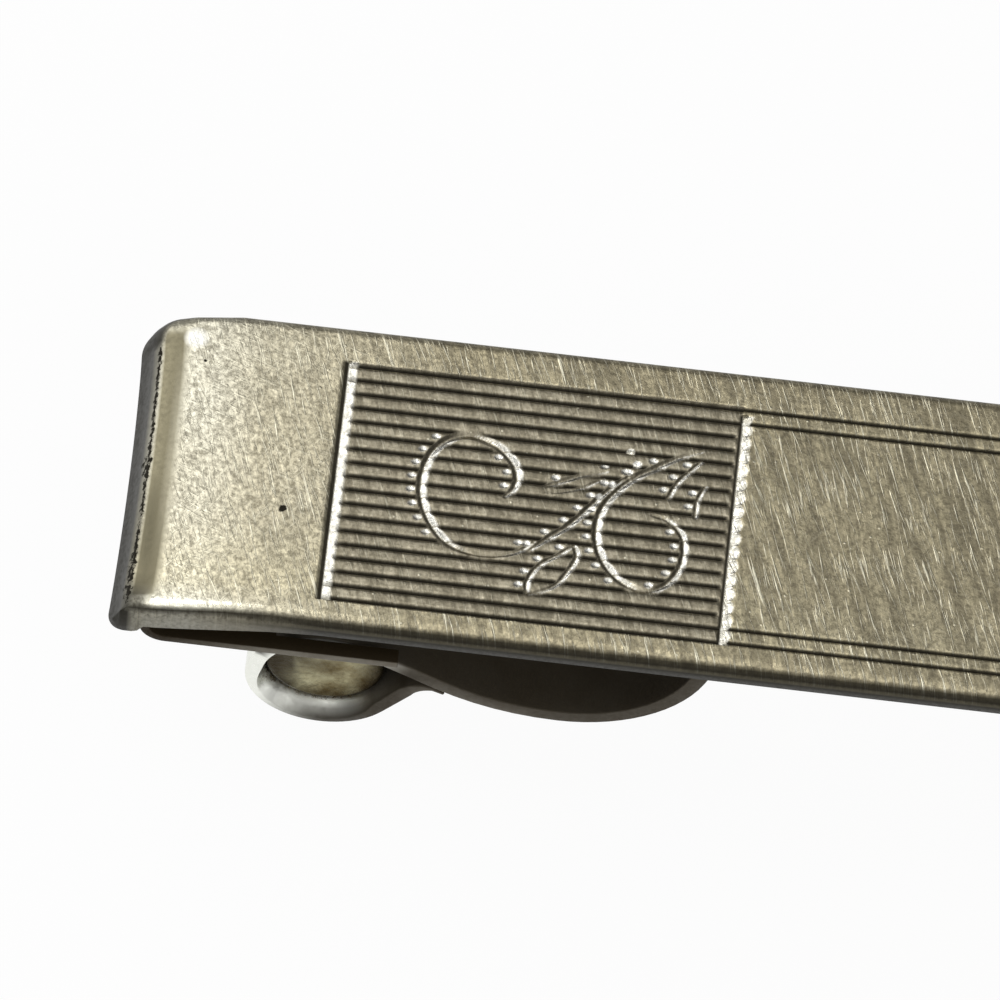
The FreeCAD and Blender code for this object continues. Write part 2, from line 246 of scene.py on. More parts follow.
# hair scratches along one direction
def makeHairlines():
    group, given, out = newGroup("hairlines", Along=(0.3, -0.95, 0), Across=(0.95, 0.3, 0), Run=500.0, Fine=22000.0,
                                 Low=0.6, High=0.72)
    join, grain = addNode(group, "CombineXYZ"), addNode(group, "TexNoise")
    for index, (way, rate) in enumerate((("Along", "Run"), ("Across", "Fine"))):
        feed(group, join, index, mathNode(group, "MULTIPLY", measure(group, "DOT_PRODUCT", given[way]), given[rate]))
    for label, value in (("Vector", join.outputs[0]), ("Scale", 1.0), ("Detail", 2.0)):
        feed(group, grain, label, value)
    feed(group, out, 0, ramp(group, grain.outputs[0], given["Low"], given["High"]))
    return group


# soft clouds of stain
def makeStain():
    group, given, out = newGroup("stain", Scale=300.0, Low=0.4, High=0.65)
    cloud = addNode(group, "TexNoise")
    feed(group, cloud, "Vector", objectPlace(group))
    for label, value in (("Scale", given["Scale"]), ("Detail", 5.0), ("Roughness", 0.6)):
        feed(group, cloud, label, value)
    feed(group, out, 0, ramp(group, cloud.outputs[0], given["Low"], given["High"]))
    return group


# scattered small spots
def makePits():
    group, given, out = newGroup("pits", Scale=500.0, Size=0.08)
    cells = addNode(group, "TexVoronoi")
    feed(group, cells, "Vector", objectPlace(group))
    feed(group, cells, "Scale", given["Scale"])
    feed(group, out, 0, ramp(group, cells.outputs["Distance"], given["Size"], 0.0))
    return group


hairlines, stain, pits = makeHairlines(), makeStain(), makePits()


def useGroup(tree, group, **values):
    node = addNode(tree, "Group", node_tree=group)
    for label, value in values.items():
        feed(tree, node, label, value)
    return node.outputs[0]


def scratches(tree, x, y, run, fine, low, high):
    across = (abs(y), -math.copysign(x, y), 0)
    return useGroup(tree, hairlines, Along=(x, y, 0), Across=across, Run=run, Fine=fine, Low=low, High=high)


def clouds(tree, scale, low, high):
    return useGroup(tree, stain, Scale=scale, Low=low, High=high)


def layer(tree, name):
    return addNode(tree, "Attribute", attribute_name=name).outputs["Fac"]


# how far a point is from a single mark on the bar's face
def awayFrom(tree, x, y):
    return measure(tree, "DISTANCE", (x * mm, y * mm, faceTop * mm))


def newMetal(name):
    material = bpy.data.materials.new(name)
    material.use_nodes = True
    return material, material.node_tree, material.node_tree.nodes["Principled BSDF"]


# colour, shine and bump of a metal; each mask adds its share to the roughness
def finishMetal(tree, shader, look, colour, metallic, masks, height):
    plus, times = sums(tree)[:2]
    rough = look["roughness"]
    for name, share in look["rougher"].items():
        rough = plus(rough, times(masks[name], share))
    bump = addNode(tree, "Bump")
    for label, value in zip(("Height", "Distance", "Strength"), (height, *look["bump"])):
        feed(tree, bump, label, value)
    feed(tree, shader, "Base Color", colour)
    feed(tree, shader, "Metallic", metallic)
    feed(tree, shader, "Specular IOR Level", look["specular"])
    feed(tree, shader, "Roughness", rough)
    feed(tree, shader, "Normal", bump.outputs[0])


# worn pale plating of the bar, darker away from its ends: partly dull tarnish, partly painted shade
# where the light falls off; painted layers say where it is ribbed, cut fresh (partly a painted highlight), in painted
# shade on the band or at an edge, polished with a painted highlight, creased, or dirty (partly painted shade)
plating = {
    # the dull colour stands partly for painted shade
    "pale": (1.0, 0.97, 0.81), "dullAndShaded": (0.76, 0.67, 0.44), "warm": (1.0, 0.9, 0.6), "rib": (0.52, 0.47, 0.36),
    # the band colour is painted shade on the shoulder at the left end
    "fleck": (0.16, 0.14, 0.095), "scratch": (1.0, 0.95, 0.74), "shadedBand": (0.2, 0.18, 0.118),
    # the edge colour is painted shade on the end wall, the sides and the far corner
    # the fresh colour serves fresh cuts and painted highlights
    # the grime colour serves dirt and painted shade
    "edge": (0.062, 0.06, 0.052), "freshAndHighlight": (0.96, 0.95, 0.88), "grimeAndShade": (0.018, 0.015, 0.008),
    # scratches: direction, rate along and across it, and where a line starts and is full
    "hair": {"main": (0.27, -0.963, 800, 15500, 0.605, 0.67), "slanted": (0.42, -0.907, 560, 18500, 0.62, 0.69),
             "deep": (0.33, -0.944, 430, 9500, 0.63, 0.69), "crossing": (0.62, 0.78, 1100, 13000, 0.56, 0.70),
             "flat": (0.94, -0.34, 1300, 12000, 0.56, 0.70), "brushed": (0.2, -0.98, 2600, 9000, 0.3, 0.7),
             "broad": (0.31, -0.951, 300, 3400, 0.42, 0.6)},
    # clouds: scale, and where one starts and is full; spots (painted glints, and dots of dirt): scale and size
    "clouds": {"patches": (420, 0.35, 0.62), "haze": (230, 0.32, 0.68), "flecks": (7800, 0.42, 0.64),
               "grain": (15000, 0.25, 0.75), "crumbs": (2200, 0.3, 0.7), "mottle": (2700, 0.36, 0.66)},
    "glints": (2300, 0.1), "dots": (300, 0.03),
    # how it turns dull from the ends inwards, darker partly by painted shade where the light falls off, with each
    # step's share, and the warm strip along the near side
    "dullAndShadedOver": ((23.9, 22.5, 0.55), (22.2, 17.5, 0.45)), "warmOver": ((-1.6, -3.4), (-4.3, -3.8)),
    "calmSwirls": 0.85, "evenLines": 0.55, "calmRibs": 0.75, "cutFlecks": 0.45,
    # coats from the metal up: share and colour; the polished line is a painted highlight, band and edge painted shade
    "coats": {"haze": (0.35, "dullAndShaded"), "glow": (0.5, "warm"), "ribbed": (0.85, "rib"), "brushed": (0.4, "fleck"),
              "mottle": (0.3, "fleck"), "broad": (0.5, "fleck"), "flecks": (0.62, "fleck"),
              "lines": (0.9, "scratch"), "polishedHighlight": (0.85, "pale"), "shadedBand": (1.0, "shadedBand"), "edge": (1.0, "edge")},
    # a painted highlight, then dark pits, on the left end: place and radius in millimetres, and where their rims lie
    "bright": ((-24.55, 3.72, 0.25),), "brightRim": (1.5, 0.6),
    "pits": ((-21.72, -1.33, 0.105), (-24.25, 3.04, 0.04), (-25.1, 1.1, 0.05)), "pitRim": (1.1, 0.8),
    "ragged": (0.5, 0.75), "crumbled": (0.3, 0.3, 0.48), "crust": (0.56, 0.64), "dirtAndShadeMetal": 0.7,
    "specular": 0.2, "roughness": 0.28, "rougher": {"flecks": 0.12, "dirtAndShade": 0.3, "polishedHighlight": -0.14, "cut": -0.06},
    "lineHeight": 4.0, "rubbedFlat": 0.85, "bump": (0.000005, 0.6),
}


def makePlating():
    material, tree, shader = newMetal("wornPlating")
    plus, times, most, less = sums(tree)
    hair = {name: scratches(tree, *values) for name, values in plating["hair"].items()}
    cloud = {name: clouds(tree, *values) for name, values in plating["clouds"].items()}
    glints, dots = (useGroup(tree, pits, Scale=plating[name][0], Size=plating[name][1]) for name in ("glints", "dots"))
    # highlights, grime dirt and painted shade
    # painted layers: band and edge are painted shade, rubbed a painted highlight, cutAndHighlight fresh cuts and
    # painted
    ribbed, shadedBand, edge, polishedHighlight = (layer(tree, name) for name in ("ribbed", "shadedBand", "edge", "polishedHighlight"))
    grimeAndShade, cut, crease = (layer(tree, name) for name in ("grimeAndShade", "cutAndHighlight", "crease"))
    flecks, mottle = cloud["flecks"], cloud["mottle"]
    split = addNode(tree, "SeparateXYZ")
    feed(tree, split, 0, objectPlace(tree))
    fromMiddle = mathNode(tree, "ABSOLUTE", split.outputs["X"])
    # darker towards the middle: partly dull tarnish, partly painted shade where the light falls off
    dullAndShaded = plus(*(times(ramp(tree, fromMiddle, low * mm, high * mm), share)
                  for low, high, share in plating["dullAndShadedOver"]))
    dullAndShaded = most(ribbed, dullAndShaded)
    glow = times(*(ramp(tree, split.outputs["Y"], low * mm, high * mm) for low, high in plating["warmOver"]))
    bare = less(most(shadedBand, edge))

    swirls = times(cloud["patches"], most(hair["crossing"], hair["flat"]))
    swirls = times(swirls, less(times(dullAndShaded, plating["calmSwirls"])))
    uneven = plus(plating["evenLines"], times(mottle, 1 - plating["evenLines"]))
    lines = times(most(most(hair["main"], hair["slanted"]), swirls), uneven)
    lines = most(lines, times(hair["deep"], dullAndShaded))
    lines = times(lines, less(times(ribbed, plating["calmRibs"])))
    # painted glints join the scratches
    lines = times(most(lines, glints), bare)

    crumbShare, fleckShare, least = plating["crumbled"]
    crumbled = plus(times(cloud["crumbs"], crumbShare), plus(times(flecks, fleckShare), least))
    # dirt here also carries painted shade from the grime layer
    dirtAndShade = most(most(grimeAndShade, dots), ramp(tree, times(crease, crumbled), *plating["crust"]))
    fleckShare, least = plating["ragged"]
    for x, y, radius in plating["pits"]:
        away = times(awayFrom(tree, x, y), plus(times(flecks, fleckShare), least))
        dirtAndShade = most(dirtAndShade, ramp(tree, away, *(radius * rim * mm for rim in plating["pitRim"])))

    masks = {"haze": cloud["haze"], "glow": glow, "ribbed": ribbed, "brushed": times(less(hair["brushed"]), bare),
             "mottle": times(times(mottle, dullAndShaded), bare), "broad": times(times(hair["broad"], dullAndShaded), bare),
             "flecks": times(flecks, bare), "lines": lines, "polishedHighlight": polishedHighlight, "shadedBand": shadedBand, "edge": edge}
    colour = mixColour(tree, dullAndShaded, plating["pale"], plating["dullAndShaded"])
    for name, (share, tint) in plating["coats"].items():
        colour = mixColour(tree, times(masks[name], share), colour, plating[tint])
    # painted highlight: a bright spot near the far left corner
    for x, y, radius in plating["bright"]:
        spot = ramp(tree, awayFrom(tree, x, y), *(radius * rim * mm for rim in plating["brightRim"]))
        colour = mixColour(tree, spot, colour, plating["freshAndHighlight"])
    # dirt and painted shade
    colour = mixColour(tree, dirtAndShade, colour, plating["grimeAndShade"])
    # fresh cuts, partly a painted highlight on faces turned to the left
    colour = mixColour(tree, times(cut, less(times(flecks, plating["cutFlecks"]))), colour, plating["freshAndHighlight"])
    height = plus(times(lines, plating["lineHeight"]), plus(plus(flecks, hair["brushed"]), cloud["grain"]))
    height = times(height, times(bare, less(times(polishedHighlight, plating["rubbedFlat"]))))
    finishMetal(tree, shader, plating, colour, less(times(dirtAndShade, plating["dirtAndShadeMetal"])),
                {"flecks": flecks, "dirtAndShade": dirtAndShade, "polishedHighlight": polishedHighlight, "cut": cut}, height)
    return material


# tarnished rolled strip of the jaw and the leaf, with a painted highlight on the eye's rim and painted shade where
# its painted layer says
strip = {"pale": (0.62, 0.59, 0.50), "brown": (0.16, 0.10, 0.045), "grimeAndShade": (0.029, 0.020, 0.009),
         "bright": (0.94, 0.95, 0.88), "haze": (420, 0.38, 0.7), "specks": (7000, 0.4, 0.64), "brownShare": 0.5,
         "grimeAndShadeMetal": 0.7, "specular": 0.2, "roughness": 0.32,
         "rougher": {"specks": 0.15, "paintedHighlight": -0.06, "grimeAndShade": 0.25}, "bump": (0.000006, 0.4)}


def makeStripMetal():
    material, tree, shader = newMetal("tarnishedStrip")
    plus, times, most, less = sums(tree)
    haze, specks = clouds(tree, *strip["haze"]), clouds(tree, *strip["specks"])
    # painted shade and a painted highlight come from their painted layers
    grimeAndShade, paintedHighlight = layer(tree, "grimeAndShade"), layer(tree, "paintedHighlight")
    colour = mixColour(tree, times(haze, strip["brownShare"]), strip["pale"], strip["brown"])
    colour = mixColour(tree, paintedHighlight, colour, strip["bright"])
    colour = mixColour(tree, grimeAndShade, colour, strip["grimeAndShade"])
    finishMetal(tree, shader, strip, colour, less(times(grimeAndShade, strip["grimeAndShadeMetal"])),
                {"specks": specks, "paintedHighlight": paintedHighlight, "grimeAndShade": grimeAndShade}, times(specks, less(paintedHighlight)))
    return material


# stained drawn wire of the pin, and the spring's darker wire
wire = {"stainedPin": {"clean": (0.50, 0.47, 0.30), "stained": (0.17, 0.125, 0.05), "stain": (900, 0.35, 0.65),
                       "roughness": 0.34},
        "springWire": {"clean": (0.46, 0.45, 0.42), "stained": (0.12, 0.10, 0.07), "stain": (700, 0.35, 0.65),
                       "roughness": 0.3},
        "both": {"specks": (6000, 0.4, 0.6), "specular": 0.5, "rougher": {"stain": 0.25}, "bump": (0.00002, 0.6)}}


def makeWireMetal(name):
    material, tree, shader = newMetal(name)
    look = {**wire[name], **wire["both"]}
    stained, specks = clouds(tree, *look["stain"]), clouds(tree, *look["specks"])
    colour = mixColour(tree, stained, look["clean"], look["stained"])
    # painted shade from the pin's painted layer
    colour = mixColour(tree, layer(tree, "grimeAndShade"), colour, strip["grimeAndShade"])
    finishMetal(tree, shader, look, colour, 1.0, {"stain": stained}, specks)
    return material


wornPlating = makePlating()
tarnishedStrip = makeStripMetal()
pinMetal, springMetal = makeWireMetal("stainedPin"), makeWireMetal("springWire")
print("metals ready")


# front bar: a rounded blank with a turned-down left end
bar = {
    "length": 52.0, "width": 9.5, "nearCorner": (0.5, 0.5), "farCorner": (1.15, 0.85), "cornerShrink": (0.45, 0.6),
    "leastCorner": 0.06, "square": 0.86, "cornerSteps": 24,
    # inset and height of the long sides, then of the left end, from the bottom up
    "side": ((0.08, 5.3), (0.0, 5.38), (0.0, 5.62), (0.03, 5.8), (0.1, 5.93), (0.2, 6.03), (0.32, 6.085),
             (0.38, 6.095), (0.45, 6.1)),
    "end": ((0.12, 4.8), (0.0, 4.9), (0.12, 5.2), (0.3, 5.58), (0.47, 5.9), (0.62, 5.975), (0.88, 6.04),
            (1.08, 6.08), (1.35, 6.1)),
    "under": ((0.2, 5.3, 0.7, 4.8), (0.25, 5.3, 0.75, 5.3)),
    "leastEnd": 0.1, "endOver": (-0.03, 0.05), "lipWall": 25.1, "lipRun": 0.12, "dent": 0.1, "dentReach": 4.3,
    "pocketFloor": 5.85, "pocketRoof": 7.1,
    "longStops": [0, 0.003, 0.006, 0.009, 0.012, 0.016] + [step / 40 for step in range(1, 40)],
    "shortStops": [step / 24 for step in range(24)],
}


# a rounded outline; its far left corner turns from the side's profile to the lip's
def barRing(sideInset, sideHeight, endInset, endHeight):
    xHalf, yHalf, steps = bar["length"] / 2, bar["width"] / 2, bar["cornerSteps"]
    near, far = bar["nearCorner"], bar["farCorner"]
    ring = []
    for sideX, sideY, start, radii in ((-1, -1, 180, near), (1, -1, 270, near), (1, 1, 0, far), (-1, 1, 90, far)):
        turned = (sideX, sideY) == (-1, 1)
        insets = (endInset, sideInset) if turned else (sideInset, sideInset)
        shrink = bar["cornerShrink"] if turned else (1, 1)
        alongX, alongY = (max(radius - inset * rate, bar["leastCorner"])
                          for radius, inset, rate in zip(radii, insets, shrink))
        for step in range(steps + 1):
            turn = math.radians(start + 90 * step / steps)
            outX, outY = (abs(side) ** bar["square"] for side in (math.cos(turn), math.sin(turn)))
            ring.append((sideX * (xHalf - insets[0] - alongX + alongX * outX),
                         sideY * (yHalf - insets[1] - alongY + alongY * outY),
                         float(ease(step, 0, steps)) if turned else 0.0))
    points = []
    for index, (x, y, share) in enumerate(ring):
        nextX, nextY = ring[(index + 1) % len(ring)][:2]
        stops = [0.0]
        if (index + 1) % (steps + 1) == 0:
            stops = bar["longStops"] if abs(nextX - x) > abs(nextY - y) else bar["shortStops"]
        for t in stops:
            px, py, drop = x + (nextX - x) * t, y + (nextY - y) * t, share
            if py < 0 or share == 1:
                endLine = max(endInset, bar["leastEnd"]) - xHalf
                drop = max(share, float(ease(endLine - px, *bar["endOver"])))
                px = max(px, endInset - xHalf)
            dent = drop * bar["dent"] * max(0.0, 1 - (py / bar["dentReach"]) ** 2)
            if py < 0 and endHeight < barBack:
                drop = max(drop, float(ease(-px, bar["lipWall"], bar["lipWall"] + bar["lipRun"])))
            points.append((px + dent, py, sideHeight + (endHeight - sideHeight) * drop))
    points.append(points[0])
    return points


def makeBarBlank():
    rings = [barRing(*low, *high) for low, high in reversed(list(zip(bar["side"], bar["end"])))]
    rings += [barRing(*under) for under in bar["under"]]
    piece = shapedGrid("barBlank", np.array(rings))
    turnOut(piece)
    pickBorders(piece)
    bpy.ops.mesh.edge_face_add()
    closeMesh()
    turnOut(piece)
    return piece


def cutPocket(piece, xHalf, yLow, yHigh):
    startFresh()
    floor, roof = bar["pocketFloor"], bar["pocketRoof"]
    bpy.ops.mesh.primitive_cube_add(size=1, location=(0, (yLow + yHigh) / 2, (floor + roof) / 2))
    tool = bpy.context.object
    tool.scale = (2 * xHalf, yHigh - yLow, roof - floor)
    keepPlace()
    adjust(piece.modifiers.new("pocket", "BOOLEAN"), operation="DIFFERENCE", solver="EXACT", object=tool)
    applyModifiers(piece)
    workOn(tool)
    bpy.ops.object.delete()


# engraved face: ribs, border cuts and a traditional leaf scroll
# grooves are painted darker by the grime share
ribs = {"count": 18, "pitch": 0.435, "middle": -0.25, "half": 0.082, "depth": 0.1, "crown": 0.02, "sunk": 0.012,
        "startsAt": (0.1, 0.45), "endsAt": (-0.08, -0.22), "grimeAndShade": 1.6}
borders = {"leftCut": -20.42, "leftWall": 0.16, "leftSlope": 0.26, "leftDepth": 0.11,
           "rightCut": -9.77, "rightWall": 0.1, "rightSlope": 0.3, "rightDepth": 0.12, "rightStart": 0.2,
           "beadLeast": 0.65, "beadRound": 0.7, "freshAndHighlight": (0.02, 0.12, 0.7), "highlightPast": -0.01,
           "grimeAndShade": (0.05, 0.4, 0.95)}
# depth for half width, how far the cut leans to the left, and how its width changes along it; then limits and
# shares: ribs fade beside a cut, its face turned to the left is fresh metal with a painted highlight, its face
# turned to the right is painted shade
graver = {"slope": 0.62, "lean": 0.35, "widthAt": (0, 0.12, 0.5, 0.88, 1), "late": 0.8, "least": 0.01,
          "calm": (-0.05, 0.03, 0.8), "freshAndHighlight": (0.12, 0.4), "ribShade": (0.55, 0.95, 0.9), "grimeAndShade": (0.12, 0.5, 0.85)}
ribRows = [ribs["middle"] + (ribs["count"] - 1) * ribs["pitch"] / 2 - index * ribs["pitch"]
           for index in range(ribs["count"])]
panel = {"xLow": -20.7, "xHigh": -9.35, "columns": 304, "fieldColumns": 41, "rowsPerPitch": 12, "margin": 8}

# each stroke: points along the bar and across it, half width at start, middle and end
strokes = {
    "leftScroll": (((-15.85, -0.15), (-15.62, 0.2), (-15.6, 0.65), (-15.85, 1.1), (-16.3, 1.45), (-17.0, 1.66),
                    (-17.58, 1.4), (-17.94, 0.92), (-18.1, 0.25), (-18.08, -0.38), (-17.84, -1.06), (-17.38, -1.7),
                    (-16.8, -2.0), (-16.1, -2.06), (-15.4, -1.86), (-14.95, -1.5)), (0.078, 0.148, 0.0546)),
    "stem": (((-15.05, -1.75), (-14.5, -1.22), (-14.1, -0.85), (-13.75, -0.42), (-13.45, 0.0), (-13.05, 0.5),
              (-12.75, 0.8), (-12.3, 1.1)), (0.0624, 0.117, 0.0468)),
    "rightCurl": (((-10.78, 1.94), (-11.3, 1.72), (-11.95, 1.28), (-12.5, 0.88), (-12.9, 0.42), (-13.2, -0.1),
                   (-13.33, -0.7), (-13.26, -1.35), (-12.98, -1.95), (-12.5, -2.42), (-11.95, -2.62),
                   (-11.42, -2.42), (-11.08, -1.95), (-10.95, -1.35), (-11.05, -0.75), (-11.45, -0.35),
                   (-11.9, -0.22)), (0.0468, 0.133, 0.0546)),
    "leafLeft": (((-15.0, -3.1), (-15.0, -2.7), (-14.75, -2.2), (-14.3, -1.82), (-13.87, -1.45)),
                 (0.0546, 0.0936, 0.0468)),
    "leafRight": (((-13.87, -1.45), (-13.78, -1.8), (-13.95, -2.25), (-14.3, -2.8), (-14.95, -3.15)),
                  (0.0468, 0.0936, 0.0546)),
    "wing": (((-14.85, 0.3), (-14.35, 0.55), (-13.85, 0.8), (-13.25, 0.98)), (0.0624, 0.101, 0.0468)),
    "wingLower": (((-14.8, 0.1), (-14.3, 0.22), (-13.8, 0.42), (-13.3, 0.75)), (0.039, 0.0702, 0.039)),
    "sprig": (((-11.54, 0.34), (-11.34, 0.85), (-11.06, 1.25), (-10.76, 1.62)), (0.0468, 0.0858, 0.0702)),
    "sprigLow": (((-10.76, -0.12), (-10.74, 0.4), (-10.58, 0.85)), (0.0858, 0.078, 0.0858)),
}
# small hollows left of these strokes where they cross a rib steeply, and single ones
nicks = {"across": 0.13, "tall": 0.09, "depth": 0.055, "gap": 0.15, "steep": 0.45, "freshAndHighlight": (0, 0.4),
         "beside": ("leftScroll", "stem", "rightCurl", "leafLeft", "wing", "sprig", "sprigLow"),
         "single": ((-12.66, 1.72), (-12.45, 1.35), (-13.3, 1.15))}


# a smooth curve through the points
def smoothLine(points, steps=9):
    known = np.array(points)
    known = np.vstack([2 * known[0] - known[1], known, 2 * known[-1] - known[-2]])
    line = []
    for a, b, c, d in zip(known, known[1:], known[2:], known[3:]):
        for t in np.linspace(0, 1, steps, endpoint=False):
            bend, twist = 2 * a - 5 * b + 4 * c - d, 3 * b - a - 3 * c + d
            line.append(0.5 * (2 * b + (c - a) * t + bend * t ** 2 + twist * t ** 3))
    line.append(known[-2])
    return np.array(line)


# distance to the nearest cut between ribs, and how deep in it each point lies
def ribGroove(y, centres):
    gap = np.min([np.abs(y - centre) for centre in centres], axis=0)
    return gap, np.clip(1 - gap / ribs["half"], 0, 1)


# the double lines along both sides
def borderGroove(y):
    return ribGroove(y, ribRows[:2] + ribRows[-2:])[1]


# depth of a leaning V cut along a line, and how far inside it each point lies
def strokeCut(x, y, line, halfWidths):
    inside, depth = np.full(x.shape, -np.inf), np.zeros(x.shape)
    start, middle, end = halfWidths
    wides = (start, middle, middle, middle * graver["late"], end)
    width = np.interp(np.linspace(0, 1, len(line)), graver["widthAt"], wides)
    for a, b, wide in zip(line, line[1:], width):
        way = b - a
        t = np.clip(((x - a[0]) * way[0] + (y - a[1]) * way[1]) / max(way @ way, 1e-9), 0, 1)
        offX, offY = x - a[0] - t * way[0], y - a[1] - t * way[1]
        gap = np.hypot(offX, offY)
        lean = graver["lean"] * wide * np.abs(offX) / np.maximum(gap, 1e-6)
        bottom = graver["slope"] * wide
        toRight = bottom * (wide - np.where(offX < 0, -gap, gap)) / (wide + lean)
        toLeft = np.where(offX < 0, bottom * (wide - gap) / (wide - lean), np.inf)
        depth = np.maximum(depth, np.where(gap < wide, np.minimum(toRight, toLeft), 0))
        inside = np.maximum(inside, wide - gap)
    return depth, inside


def nickPlaces(lines):
    crests = [y - ribs["pitch"] / 2 for y in ribRows[:-1]]
    places = list(nicks["single"])
    for name in nicks["beside"]:
        line, wide = lines[name], strokes[name][1][1]
        for a, b in zip(line, line[1:]):
            steep = abs(b[1] - a[1]) / np.hypot(*(b - a))
            for crest in crests:
                if (a[1] - crest) * (b[1] - crest) < 0 and steep > nicks["steep"]:
                    t = (crest - a[1]) / (b[1] - a[1])
                    places.append((a[0] + (b[0] - a[0]) * t - wide / steep - nicks["gap"], crest))
    return places


# height and painted layers of the ribbed panel
def panelRelief(x, y):
    gap, groove = ribGroove(y, ribRows)
    double = borderGroove(y)
    fromLeft, fromRight = x - borders["leftCut"], x - borders["rightCut"]
    inPanel = (fromLeft > 0) & (fromRight < 0)
    inBand = (y < ribRows[0] + ribs["half"]) & (y > ribRows[-1] - ribs["half"])
    fullRun = ease(fromLeft, *ribs["startsAt"]) * ease(fromRight, *ribs["endsAt"])
    groove = np.where(inPanel, groove * np.maximum(fullRun, double > 0), np.where(fromRight > 0, double, 0))
    crown = np.clip((ribs["pitch"] / 2 - gap) / (ribs["pitch"] / 2 - ribs["half"]), 0, 1) ** 2
    ribTop = np.where(inPanel & inBand, -ribs["sunk"] - ribs["crown"] * crown, 0.0)

    lines = {name: smoothLine(points) for name, (points, widths) in strokes.items()}
    cuts = [strokeCut(x, y, lines[name], strokes[name][1]) for name in strokes]
    depth, inside = (np.max([cut[index] for cut in cuts], axis=0) for index in (0, 1))
    calm = 1 - ease(inside, *graver["calm"])
    height = ribTop - ribs["depth"] * groove * calm
    height = np.minimum(height, np.where(inside > 0, -graver["least"] - depth, 0))
    # fresh metal with a painted highlight on cut faces turned to the left, painted shade on faces turned to the right
    rising = np.gradient(depth, x[0], axis=1)
    freshAndHighlight = ease(-rising, *graver["freshAndHighlight"]) * (1 - ease(groove, *graver["ribShade"]))
    grimeAndShade = np.maximum(np.clip(groove * ribs["grimeAndShade"], 0, 1) * calm, ease(rising, *graver["grimeAndShade"]))

    beads = np.abs(np.cos(np.pi * (y - ribRows[0]) / ribs["pitch"] + np.pi / 2)) ** borders["beadRound"]
    beads = borders["beadLeast"] + (1 - borders["beadLeast"]) * beads
    belowTop = y < ribRows[0] - borders["rightStart"]
    for side, offset, shape, rows in (("left", fromLeft, 1, inBand), ("right", fromRight, beads, inBand & belowTop)):
        steep, gentle = 1 + offset / borders[side + "Wall"], 1 - offset / (borders[side + "Slope"] * shape)
        wall = np.clip(np.where(offset < 0, steep, gentle), 0, 1) * rows
        height = np.minimum(height, -borders[side + "Depth"] * wall)
        # painted highlight on the border wall turned to the left, painted shade on the wall turned to the right
        freshAndHighlight = np.maximum(freshAndHighlight, ease(wall, *borders["freshAndHighlight"]) * (offset > borders["highlightPast"]))
        grimeAndShade = np.maximum(grimeAndShade, ease(wall, *borders["grimeAndShade"]) * (offset < 0))

    for placeX, placeY in nickPlaces(lines):
        hollow = 1 - ((x - placeX) / nicks["across"]) ** 2 - ((y - placeY) / nicks["tall"]) ** 2
        height = np.minimum(height, np.where(hollow > 0, -ribs["sunk"] - nicks["depth"] * hollow, 0))
        freshAndHighlight = np.maximum(freshAndHighlight, ease(hollow, *nicks["freshAndHighlight"]))
    return height, grimeAndShade * (1 - freshAndHighlight), freshAndHighlight, 1.0 * (inPanel & inBand)


# height and painted layers of the plain middle
def fieldRelief(x, y):
    groove = borderGroove(y)
    return -ribs["depth"] * groove, np.clip(groove * ribs["grimeAndShade"], 0, 1), np.zeros_like(x), np.zeros_like(x)


def faceRows():
    step = ribs["pitch"] / panel["rowsPerPitch"]
    count = (ribs["count"] - 1) * panel["rowsPerPitch"] + 2 * panel["margin"] + 1
    return ribRows[0] + panel["margin"] * step - step * np.arange(count)


def engravedSlab(name, xStart, xEnd, columns, relief):
    x, y = np.meshgrid(np.linspace(xStart, xEnd, columns), faceRows()[::-1])
    height, *layers = relief(x, y)
    piece = shapedGrid(name, np.stack([x, y, faceTop + height], axis=-1))
    for label, values in zip(("grimeAndShade", "cutAndHighlight", "ribbed"), layers):
        paint(piece, label, values.reshape(-1))
    pickBorders(piece)
    bpy.ops.mesh.extrude_region_move(TRANSFORM_OT_translate={"value": (0, 0, bar["pocketFloor"] - faceTop)})
    mesh = bmesh.from_edit_mesh(piece.data)
    for vert in mesh.verts:
        if vert.select:
            vert.co.z = bar["pocketFloor"]
    bmesh.update_edit_mesh(piece.data)
    bpy.ops.mesh.edge_face_add()
    turnOut(piece, weld=0)
    return piece


